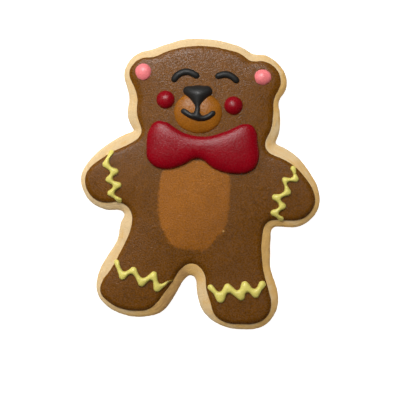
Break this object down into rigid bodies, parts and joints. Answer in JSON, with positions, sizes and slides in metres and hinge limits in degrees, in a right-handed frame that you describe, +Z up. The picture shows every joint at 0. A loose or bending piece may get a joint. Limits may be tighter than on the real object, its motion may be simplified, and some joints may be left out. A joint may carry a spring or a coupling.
{
  "type": "frosted sugar cookie",
  "caption": "Bear-shaped sugar cookie lying flat, with smooth brown icing inside a bare rim and a piped face, bow tie and zigzag cuffs.",
  "frame": {"origin": "the middle of the flat underside, under the middle of the bounding box", "axes": "+Z up out of the iced face, +Y towards the bear's head, +X towards the paw on the viewer's right"},
  "size_m": [0.0906, 0.1079, 0.0116],
  "materials": {
    "biscuit": "pale baked biscuit with a fine crumb",
    "brown_icing": "set royal icing, satin",
    "caramel_icing": "set royal icing, satin",
    "black_icing": "set royal icing, soft gloss",
    "red_icing": "set royal icing, soft gloss",
    "pink_icing": "set royal icing, soft gloss",
    "yellow_icing": "set royal icing, soft gloss"
  },
  "bodies": {
    "root": {"cookie": "biscuit", "brown_icing": "brown_icing", "belly_patch": "caramel_icing", "muzzle": "caramel_icing", "nose_mouth": "black_icing", "eye_left": "black_icing", "eye_right": "black_icing", "cheek_left": "red_icing", "cheek_right": "red_icing", "bow_tie": "red_icing", "ear_dot_left": "pink_icing", "ear_dot_right": "pink_icing", "zigzag_arm_left": "yellow_icing", "zigzag_arm_right": "yellow_icing", "zigzag_leg_left": "yellow_icing", "zigzag_leg_right": "yellow_icing"}
  },
  "joints": []
}
